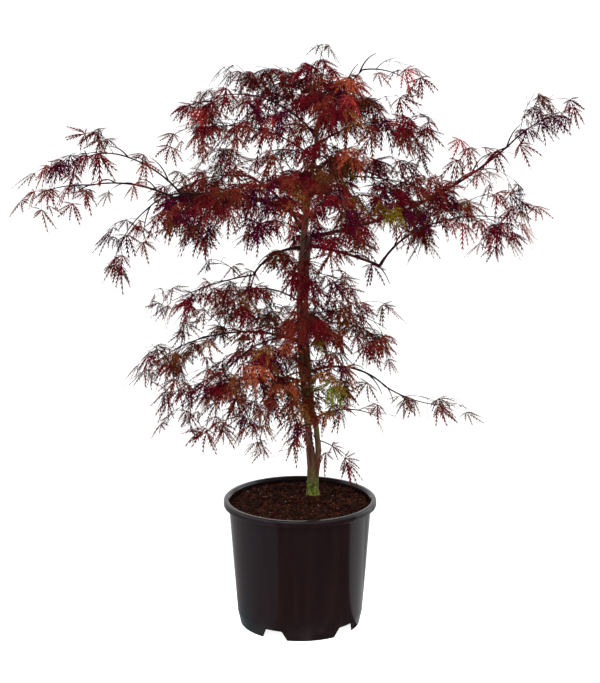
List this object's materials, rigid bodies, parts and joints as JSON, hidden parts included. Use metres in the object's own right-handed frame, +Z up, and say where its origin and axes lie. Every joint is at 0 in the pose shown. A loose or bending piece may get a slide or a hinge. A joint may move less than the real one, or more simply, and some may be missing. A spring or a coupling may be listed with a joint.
{
  "type": "potted japanese maple",
  "caption": "Laceleaf maple in a round nursery pot: a slim forked trunk, arching boughs and tiers of drooping, finely cut dark red leaves.",
  "frame": {"origin": "centre of the pot's flat underside, on the ground", "axes": "+Z up, +X to the plant's right as it is seen from the front, -Y to the front"},
  "size_m": [1.0454, 0.5779, 1.0677],
  "materials": {
    "pot": "black polypropylene with a satin sheen",
    "compost": "moist dark bark and peat",
    "bark": "smooth olive brown young bark",
    "leaves": "dark red, thin and matt"
  },
  "bodies": {
    "root": {"pot": "pot", "compost": "compost", "trunk": "bark", "second_stem": "bark", "left_bough": "bark", "left_arching_limb": "bark", "left_rising_limb": "bark", "left_hanging_limb": "bark", "left_back_bough": "bark", "left_front_bough": "bark", "far_right_bough": "bark", "right_low_bough": "bark", "right_low_limb": "bark", "right_back_bough": "bark", "back_bough": "bark", "front_right_bough": "bark", "top_left_bough": "bark", "top_right_bough": "bark", "falling_bough": "bark", "lower_left_bough": "bark", "lower_right_bough": "bark", "lower_right_twig": "bark", "crown_tip": "leaves", "top_left_mass": "leaves", "top_right_mass": "leaves", "top_front_mass": "leaves", "top_back_mass": "leaves", "upper_left_mass": "leaves", "upper_right_mass": "leaves", "upper_back_mass": "leaves", "far_left_tip": "leaves", "far_left_cluster": "leaves", "far_left_hanging_mass": "leaves", "left_back_mass": "leaves", "left_front_mass": "leaves", "front_left_mass": "leaves", "front_mass": "leaves", "front_right_mass": "leaves", "right_mass": "leaves", "far_right_tip": "leaves", "far_right_mass": "leaves", "right_low_mass": "leaves", "right_under_mass": "leaves", "right_back_mass": "leaves", "back_mass": "leaves", "falling_mass": "leaves", "lower_left_mass": "leaves", "lower_left_low_mass": "leaves", "lower_front_left_mass": "leaves", "lower_front_mass": "leaves", "lower_front_low_mass": "leaves", "lower_front_foot_mass": "leaves", "lower_front_right_mass": "leaves", "lower_right_high_mass": "leaves", "lower_right_tip": "leaves", "lower_right_low_mass": "leaves", "lower_back_right_mass": "leaves", "lower_back_mass": "leaves", "lower_back_left_mass": "leaves", "foot_twig": "leaves"}
  },
  "joints": []
}
